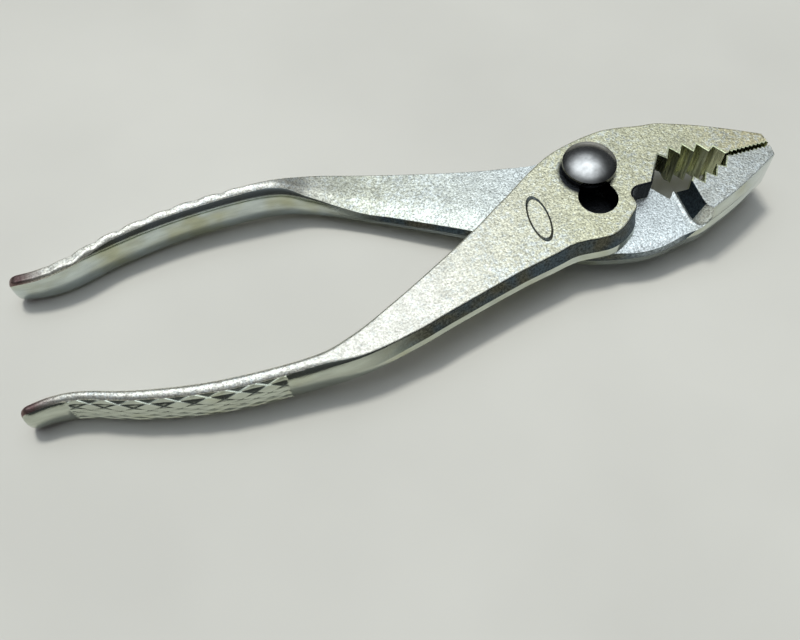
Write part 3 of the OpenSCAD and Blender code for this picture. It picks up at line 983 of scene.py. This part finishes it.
def forged_zinc(colours, half):
    """Bright zinc plate over a half's granular forged skin, yellowish on the front one, brown at the handle ends,
    with painted shade in the slot's far seat and painted shadow round the bolt's head.
    """
    n = Nodes("forged_zinc_" + half)
    joint = n.along("X", *JOINT_X)
    speck = n.grain(0.42 * MM, 3.0, rough=0.6)
    tone = n.ramp(speck, 0.32, 0.60, 0.50, 1.08)
    if half == "front":
        plate = n.mix(joint, colours.zinc_bright, colours.zinc_warm)
        plate = n.mix(n.along("X", *FRONT_JAW_X), plate, colours.jaw_yellow)
        grain = n.join("MAXIMUM", n.along("X", *JOINT_GRAIN_X, 0.35, 1.0), n.along("X", *GRIP_GRAIN_X, 1.0, 0.0))
        calm = n.add("ShaderNodeMix", data_type="FLOAT")
        n.link(grain, calm, 0)
        calm.inputs[2].default_value = EVEN_TONE
        n.link(tone, calm, 3)
        tone = calm
    else:
        plate = n.mix(n.along("X", *REAR_NECK_X), colours.zinc_bright, colours.zinc_grey)
        plate = n.mix(joint, plate, colours.zinc_cool)
        plate = n.mix(n.along("X", *REAR_JAW_X), plate, colours.jaw_grey)
    patches = n.ramp(n.grain(18 * MM), 0.38, 0.66, -0.15, 0.35)
    flecks = n.ramp(n.grain(0.75 * MM, 1.0), 0.30, 0.70, -0.45, 0.45)
    tint = n.mix(n.join("ADD", patches, flecks), plate, colours.zinc_cool)
    dull = n.ramp(n.grain(3.0 * MM, 3.0), 0.34, 0.60, 0.84, 1.0)
    skin = n.shade(n.shade(tint, tone), dull)
    skin = n.mix(n.along("X", *HANDLE_END_X, 0.9, 0.0), skin, colours.tarnish)
    # Painted shade in the slot's far seat and painted shadow of the bolt's head
    for spot, low, high in SHADE_SPOTS:
        skin = n.mix(n.away(spot, low, high), colours.painted_shade, skin)
    dents = n.bump(n.grain(1.0 * MM), 0.5, 0.14 * MM)
    relief = n.bump(speck, 0.8, 0.12 * MM, dents)
    n.link(n.along("X", *ROUGH_X, 0.30, 0.8), relief, "Strength")
    return n.dress(skin, n.ramp(speck, 0.3, 0.7, 0.50, 0.30), relief)


def trimmed_tint(n, colours):
    """Colour of the smooth bands, stained in places and most on the front side, and the streaks along them."""
    streak = n.grain(1.2 * MM, 3.0, (0.25, 0.25, 1.0))
    patches = n.ramp(n.grain(9 * MM), 0.30, 0.52, 0.0, 1.0)
    clean = n.join("MULTIPLY", patches, n.along("Y", *FRONT_SIDE_Y, 0.45, 1.0))
    tint = n.mix(clean, colours.stain, colours.trimmed)
    return n.shade(tint, n.ramp(streak, 0.35, 0.65, 0.86, 1.04)), streak


def trimmed_zinc(colours):
    """Smooth plate on the grips and along the trimmed flash line, with faint streaks."""
    n = Nodes("trimmed_zinc")
    tint, streak = trimmed_tint(n, colours)
    return n.dress(tint, n.ramp(streak, 0.3, 0.7, 0.20, 0.13), n.bump(streak, 0.15, 0.05 * MM))


def shaded_wall_zinc(colours):
    """Granular walls of the joint and neck painted dark as shade, bluish toward the jaw and lighter at the boss's
    nose, which smooth out toward the grips.
    """
    n = Nodes("shaded_wall_zinc")
    # The painted shade gives way to the trimmed bands' colour toward the grips
    dark = n.along("X", *SHADED_WALL_X)
    dark.interpolation_type = "SMOOTHSTEP"
    patches = n.ramp(n.grain(6 * MM), 0.40, 0.60, 0.0, 1.0)
    cool = n.join("MAXIMUM", patches, n.along("X", *COOL_SHADE_X))
    nose = n.join("MULTIPLY", n.along("X", *NOSE_RISE_X), n.along("X", *NOSE_FALL_X, 1.0, 0.0))
    tint = n.mix(nose, n.mix(cool, colours.wall_shade_warm, colours.wall_shade_cool), colours.wall_shade_pale)
    speck = n.grain(0.45 * MM, 3.0, rough=0.65)
    granular = n.shade(tint, n.ramp(speck, 0.34, 0.66, 0.45, 1.5))
    skin = n.mix(dark, trimmed_tint(n, colours)[0], granular)
    relief = n.bump(speck, 0.8, 0.12 * MM)
    n.link(n.ramp(dark, 0.0, 1.0, 0.02, 0.8), relief, "Strength")
    return n.dress(skin, n.ramp(dark, 0.0, 1.0, 0.165, 0.42), relief)


def cut_zinc(colours):
    """Cut walls of the teeth, cutter and slot, with lines down the wall, painted near black as shade in the slot and
    notch and on the teeth nearest the pivot.
    """
    n = Nodes("cut_zinc")
    lines = n.grain(0.5 * MM, 3.0, (1.0, 1.0, 0.06))
    tint = n.shade(colours.cut_steel, n.ramp(lines, 0.34, 0.64, 0.50, 1.20))
    # Painted shade on the cut walls nearer the pivot than the outer teeth
    tint = n.mix(n.along("X", *CUT_SHADE_X), colours.painted_shade, tint)
    return n.dress(tint, n.ramp(lines, 0.3, 0.7, 0.34, 0.20), n.bump(lines, 0.3, 0.06 * MM))


def bolt_plate(colours, name, roughness):
    """Smooth plate on the bolt and nut, faintly mottled, with painted shade toward the head's edge, and painted near
    black as shade under the head, on the shank and on the nut.
    """
    n = Nodes(name)
    cloud = n.grain(2.6 * MM, 3.0)
    tint = n.shade(colours.bolt_grey, n.ramp(cloud, 0.35, 0.65, 0.66, 1.08))
    radius = n.add("ShaderNodeVectorMath", operation="LENGTH")
    n.link(n.placed("ShaderNodeMapping", Scale=(1, 1, 0)), radius, 0)
    # Painted shade toward the head's edge
    tint = n.shade(tint, n.ramp(radius, *HEAD_EDGE_SHADE_R, 1.0, 0.5, "Value"))
    # Painted shade under the head, on the shank and over all of the nut
    tint = n.mix(n.along("Z", *HEAD_SHADE_Z), colours.painted_shade, tint)
    rough = n.ramp(cloud, 0.3, 0.7, roughness + 0.05, roughness - 0.04)
    return n.dress(tint, rough, n.bump(n.grain(0.35 * MM), 0.06, 0.03 * MM))


def pale_floor(colours):
    """Plain pale floor with faint wear."""
    n = Nodes("pale_floor", metallic=0.0)
    tint = n.shade(colours.floor, n.ramp(n.grain(90 * MM, 4.0), 0.35, 0.65, 0.94, 1.03))
    n.shader.inputs["Specular IOR Level"].default_value = 0.25
    return n.dress(tint, 0.7, n.bump(n.grain(1.0 * MM), 0.05, 0.1 * MM))


def half_finishes(colours, half):
    """The finishes of a half, in the order of their numbers; all but the first are made once for both halves."""
    makers = (("trimmed_zinc", trimmed_zinc), ("cut_zinc", cut_zinc), ("shaded_wall_zinc", shaded_wall_zinc))
    return [forged_zinc(colours, half)] + [bpy.data.materials.get(name) or make(colours) for name, make in makers]


# Rims of the holes: height from the plate's outer face and how far out, in millimetres
SLOT_RIM = ((-0.3, 0), (-0.1, 0.08), (0.2, 0.45))
BORE_RIM = ((-0.3, 0), (0.2, 0.4))
HOLE_FOOT = -2 * MM
STUD_BEVEL = 0.35 * MM
# Lower edge of the bolt's head: how far out from its radius and height over its seat, in millimetres
HEAD_EDGE = ((-0.5, 0), (-0.12, 0.12), (0, 0.45))
HEAD_RIM_ROUND = 0.25 * MM
DOME_STEPS, DOME_SHARE = 12, 0.985
SHANK_SINK, SHANK_RISE = 0.02 * MM, 0.1 * MM
NUT_CORNER = math.radians(30)
NUT_BEVEL = 0.15 * MM
# Nut's chamfer and bore: height from its lower face and how far out, in millimetres
NUT_CHAMFER = ((-0.01, -0.05), (3, 5.2))
NUT_BORE = ((-0.5, 0.9), (0.4, 0))
NUT_SLACK = 0.03 * MM
NUT_PAST = 1 * MM
BOLT_ROUGH, NUT_ROUGH = 0.17, 0.32


def through_plate(forging, plan, rim):
    """A cutter through the plate, whose rim opens out at the plate's outer face."""
    top = plate_top(forging)
    return stack(plan, [(HOLE_FOOT, 0)] + [(top + up * MM, out * MM) for up, out in rim])


class PLIERS_OT_front_half(Operator):
    """Builds the front half: its forging with the two-seat slot, and a plain pressed oval"""

    bl_idname = "pliers.front_half"
    bl_label = "Front half"

    def execute(self, context):
        scene = context.scene
        f, h = scene.pliers_forging, scene.pliers_handle
        finishes = half_finishes(scene.pliers_finish, "front")
        piece = as_object("front_half_forging", half_mesh(f, h), finishes)
        slot = through_plate(f, slot_outline(f), SLOT_RIM)
        # The oval's groove takes the walls' painted shade
        cut_away(piece, [as_object("relief", relief_cutter(f), finishes), as_object("slot", slot, finishes, CUT),
                         as_object("oval", oval_groove(f), finishes, SHADED_WALL)])
        settle(piece, Matrix.Translation((0, -f.pivot_offset, f.mid_z)), "front", "front_half")
        return {"FINISHED"}


class PLIERS_OT_rear_half(Operator):
    """Builds the rear half: the same forging turned over, with the bolt's bore"""

    bl_idname = "pliers.rear_half"
    bl_label = "Rear half"

    def execute(self, context):
        scene = context.scene
        f, h = scene.pliers_forging, scene.pliers_handle
        finishes = half_finishes(scene.pliers_finish, "rear")
        piece = as_object("rear_half_forging", half_mesh(f, h), finishes)
        bore = through_plate(f, disc(f.bore_r, BORE_STEPS, (0, -f.pivot_offset)), BORE_RIM)
        cut_away(piece, [as_object("relief", relief_cutter(f), finishes), as_object("bore", bore, finishes, CUT)])
        turned = Matrix.Translation((0, -f.pivot_offset, f.mid_z)) @ Matrix.Rotation(math.pi, 4, "X")
        settle(piece, turned, "rear", "rear_half")
        return {"FINISHED"}


class PLIERS_OT_pivot_bolt(Operator):
    """Builds the pivot bolt: domed head, flatted shank and stud"""

    bl_idname = "pliers.pivot_bolt"
    bl_label = "Pivot bolt"

    def execute(self, context):
        scene = context.scene
        b, f = scene.pliers_bolt, scene.pliers_forging
        flat = b.flats_w / 2
        seat = f.mid_z + f.plate_gap / 2 + f.plate_t + b.seat_gap
        rim = seat + b.head_rim
        dome_r = (b.head_r ** 2 + b.dome_h ** 2) / (2 * b.dome_h)
        half = math.asin(b.head_r / dome_r)
        profile = [(0, 0), (b.stud_r - STUD_BEVEL, 0), (b.stud_r, STUD_BEVEL), (b.stud_r, f.mid_z), (flat, f.mid_z),
                   (flat, seat)]
        profile += [(b.head_r + out * MM, seat + up * MM) for out, up in HEAD_EDGE]
        profile.append((b.head_r, rim - HEAD_RIM_ROUND))
        for k in range(DOME_STEPS + 1):
            a = half * (1 - k / DOME_STEPS) * DOME_SHARE
            profile.append((dome_r * math.sin(a), rim + b.dome_h - dome_r * (1 - math.cos(a))))
        bm = bmesh.new()
        verts = [bm.verts.new((r, 0, z)) for r, z in profile]
        for pair in zip(verts, verts[1:]):
            bm.edges.new(pair)
        spin_round(bm, HEAD_STEPS)
        bmesh.ops.remove_doubles(bm, verts=bm.verts[:], dist=WELD)
        shank = stack(disc(b.shank_r, ROUND_STEPS), [(f.mid_z + SHANK_SINK, 0), (seat + SHANK_RISE, 0)])
        for v in shank.verts:
            v.co.x = min(max(v.co.x, -flat), flat)
        turn(shank, -f.slot_lean, "Z")
        mesh = bpy.data.meshes.new("shank")
        shank.to_mesh(mesh)
        shank.free()
        bm.from_mesh(mesh)
        bpy.data.meshes.remove(mesh)
        piece = as_object("pivot_bolt_domed", bm, [bolt_plate(scene.pliers_finish, "bolt_plate", BOLT_ROUGH)])
        settle(piece, Matrix.Identity(4), "pivot", "pivot_bolt")
        return {"FINISHED"}


class PLIERS_OT_pivot_nut(Operator):
    """Builds the hexagon nut under the joint"""

    bl_idname = "pliers.pivot_nut"
    bl_label = "Pivot nut"

    def room(self, radius, steps, edge, b):
        """Round room from under the nut to over it, with an edge of (height, how far out) in millimetres."""
        levels = [(b.stud_proud + up * MM, out * MM) for up, out in edge]
        return stack(disc(radius, steps), levels + [(b.stud_proud + b.nut_h + NUT_PAST, levels[-1][1])])

    def execute(self, context):
        scene = context.scene
        b = scene.pliers_bolt
        bm = bmesh.new()
        corner = b.nut_af / 2 / math.cos(NUT_CORNER)
        bmesh.ops.create_cone(bm, cap_ends=True, segments=6, radius1=corner, radius2=corner, depth=b.nut_h)
        turn(bm, NUT_CORNER, "Z")
        bmesh.ops.translate(bm, vec=(0, 0, b.stud_proud + b.nut_h / 2), verts=bm.verts[:])
        bmesh.ops.bevel(bm, geom=[e for e in bm.edges if abs(e.verts[0].co.z - e.verts[1].co.z) > b.nut_h / 2],
                        offset=NUT_BEVEL, affect="EDGES", segments=2, profile=0.5, material=-1)
        piece = as_object("pivot_nut_hex", bm, [bolt_plate(scene.pliers_finish, "nut_plate", NUT_ROUGH)])
        chamfer = as_object("chamfer", self.room(b.nut_af / 2, ROUND_STEPS, NUT_CHAMFER, b), [])
        bore = as_object("bore", self.room(b.stud_r + NUT_SLACK, BORE_STEPS, NUT_BORE, b), [])
        cut_away(piece, [bore], [chamfer])
        settle(piece, Matrix.Identity(4), "pivot", "pivot_nut")
        return {"FINISHED"}


# Stage: the floor's rim as shares of its radius (out, up), the lamp, the room's light by direction, and the camera
FLOOR_STEPS = 96
FLOOR_RIM = ((1.05, 0.006), (1.09, 0.025), (1.115, 0.06), (1.12, 0.20))
LAMP_PLACE, LAMP_AIM, LAMP_SIZE = (-0.30, 1.13, 3.63), (-0.03, -0.005, 0.01), (0.63, 0.53)
LAMP_TINT, ROOM_TINT = (1.0, 0.97, 0.89), (0.89, 0.95, 1.0, 1)
DIM_STOPS = ((0.0, 1.0), (0.34, 1.3))
BRIGHT_STOPS = ((0.64, 0.045), (0.78, 0.18), (0.87, 0.47), (0.94, 0.74), (0.985, 1.0))
CAMERA_RIGHT, CAMERA_UP = (0.95854, -0.28355, -0.02845), (0.25926, 0.82627, 0.50007)
CAMERA_PLACE = (-0.07093, -0.1109, 0.16767)
SENSOR_W, CLIP_START = 36, 0.01


class PLIERS_OT_stage(Operator):
    """Lays the pale floor, hangs the lamp and sets the camera"""

    bl_idname = "pliers.stage"
    bl_label = "Stage"

    def lamp(self, power):
        """One lamp behind the pliers, which doesn't show in the plate."""
        data = bpy.data.lights.new("window_lamp", "AREA")
        data.shape = "RECTANGLE"
        data.size, data.size_y = LAMP_SIZE
        data.energy = power
        data.color = LAMP_TINT
        made = bpy.data.objects.new("window_lamp", data)
        made.location = LAMP_PLACE
        made.visible_glossy = False
        made.rotation_euler = (Vector(LAMP_AIM) - Vector(LAMP_PLACE)).to_track_quat("-Z", "Y").to_euler()
        return made

    def room(self, settings):
        """Soft light that is brightest overhead and falls off to a dim horizon."""
        world = bpy.data.worlds.new("room")
        world.use_nodes = True
        tree = world.node_tree
        back = tree.nodes["Background"]
        back.inputs["Color"].default_value = ROOM_TINT
        place = tree.nodes.new("ShaderNodeTexCoord")
        toward = tree.nodes.new("ShaderNodeVectorMath")
        toward.operation = "DOT_PRODUCT"
        toward.inputs[1].default_value = Vector(settings.bright_side).normalized()
        fall = tree.nodes.new("ShaderNodeValToRGB")
        stops = tuple((at, share * settings.dim) for at, share in DIM_STOPS) + BRIGHT_STOPS
        for k, (at, level) in enumerate(stops):
            stop = fall.color_ramp.elements[k] if k < len(DIM_STOPS) else fall.color_ramp.elements.new(at)
            stop.position = at
            stop.color = (level, level, level, 1)
        strength = tree.nodes.new("ShaderNodeMath")
        strength.operation = "MULTIPLY"
        strength.inputs[1].default_value = settings.world
        tree.links.new(place.outputs["Generated"], toward.inputs[0])
        tree.links.new(toward.outputs["Value"], fall.inputs["Fac"])
        tree.links.new(fall.outputs["Color"], strength.inputs[0])
        tree.links.new(strength.outputs["Value"], back.inputs["Strength"])
        return world

    def floor(self, settings, colours):
        """Round floor whose rim turns up into a low backdrop."""
        bm = bmesh.new()
        bmesh.ops.create_circle(bm, cap_ends=True, segments=FLOOR_STEPS, radius=settings.floor_r)
        for out, up in FLOOR_RIM:
            rim = [e for e in bm.edges if e.is_boundary]
            for v in bmesh.ops.extrude_edge_only(bm, edges=rim)["geom"]:
                if isinstance(v, bmesh.types.BMVert):
                    v.co.xy = v.co.xy.normalized() * out * settings.floor_r
                    v.co.z = up * settings.floor_r
        turn(bm, settings.floor_tilt, "Y")
        for face in bm.faces:
            face.smooth = True
        made = as_object("floor", bm, [pale_floor(colours)])
        made.data.set_sharp_from_angle(angle=FLOOR_SHARP)
        return made

    def camera(self, lens):
        """The camera at the photo's place."""
        data = bpy.data.cameras.new("photo_camera")
        data.lens = lens
        data.sensor_width = SENSOR_W
        data.clip_start = CLIP_START
        made = bpy.data.objects.new("photo_camera", data)
        right, up = Vector(CAMERA_RIGHT), Vector(CAMERA_UP)
        facing = Matrix((right, up, right.cross(up))).transposed().to_4x4()
        made.matrix_world = Matrix.Translation(CAMERA_PLACE) @ facing
        return made

    def execute(self, context):
        scene = context.scene
        s, colours = scene.pliers_stage, scene.pliers_finish
        self.floor(s, colours)
        scene.collection.objects.link(self.lamp(s.key_power))
        scene.world = self.room(s)
        scene.camera = self.camera(s.lens)
        scene.collection.objects.link(scene.camera)
        scene.view_settings.view_transform = "Standard"
        return {"FINISHED"}


class PLIERS_PT_panel(Panel):
    """Lists the pieces of the pliers and their sizes"""

    bl_idname = "PLIERS_PT_panel"
    bl_label = "Slip joint pliers"
    bl_space_type = "VIEW_3D"
    bl_region_type = "UI"
    bl_category = "Pliers"

    def draw(self, context):
        for operator in OPERATORS:
            self.layout.operator(operator.bl_idname)
        for name in GROUPS:
            group = getattr(context.scene, name)
            box = self.layout.box()
            for key in group.__annotations__:
                box.prop(group, key)


OPERATORS = (PLIERS_OT_front_half, PLIERS_OT_rear_half, PLIERS_OT_pivot_bolt, PLIERS_OT_pivot_nut, PLIERS_OT_stage)
GROUPS = {"pliers_forging": ForgingSizes, "pliers_handle": HandleSizes, "pliers_bolt": BoltSizes,
          "pliers_finish": FinishColours, "pliers_stage": StageSettings}


def register():
    """Registers the sizes, the operators and the panel."""
    for group in GROUPS.values():
        bpy.utils.register_class(group)
    for name, group in GROUPS.items():
        setattr(bpy.types.Scene, name, PointerProperty(type=group))
    for operator in OPERATORS:
        bpy.utils.register_class(operator)
    bpy.utils.register_class(PLIERS_PT_panel)


def unregister():
    """Takes out all that register put in."""
    bpy.utils.unregister_class(PLIERS_PT_panel)
    for operator in reversed(OPERATORS):
        bpy.utils.unregister_class(operator)
    for name, group in GROUPS.items():
        delattr(bpy.types.Scene, name)
        bpy.utils.unregister_class(group)


def main():
    """Builds the pieces and the stage."""
    register()
    bpy.ops.pliers.front_half()
    bpy.ops.pliers.rear_half()
    bpy.ops.pliers.pivot_bolt()
    bpy.ops.pliers.pivot_nut()
    bpy.ops.pliers.stage()


if __name__ == "__main__":
    main()
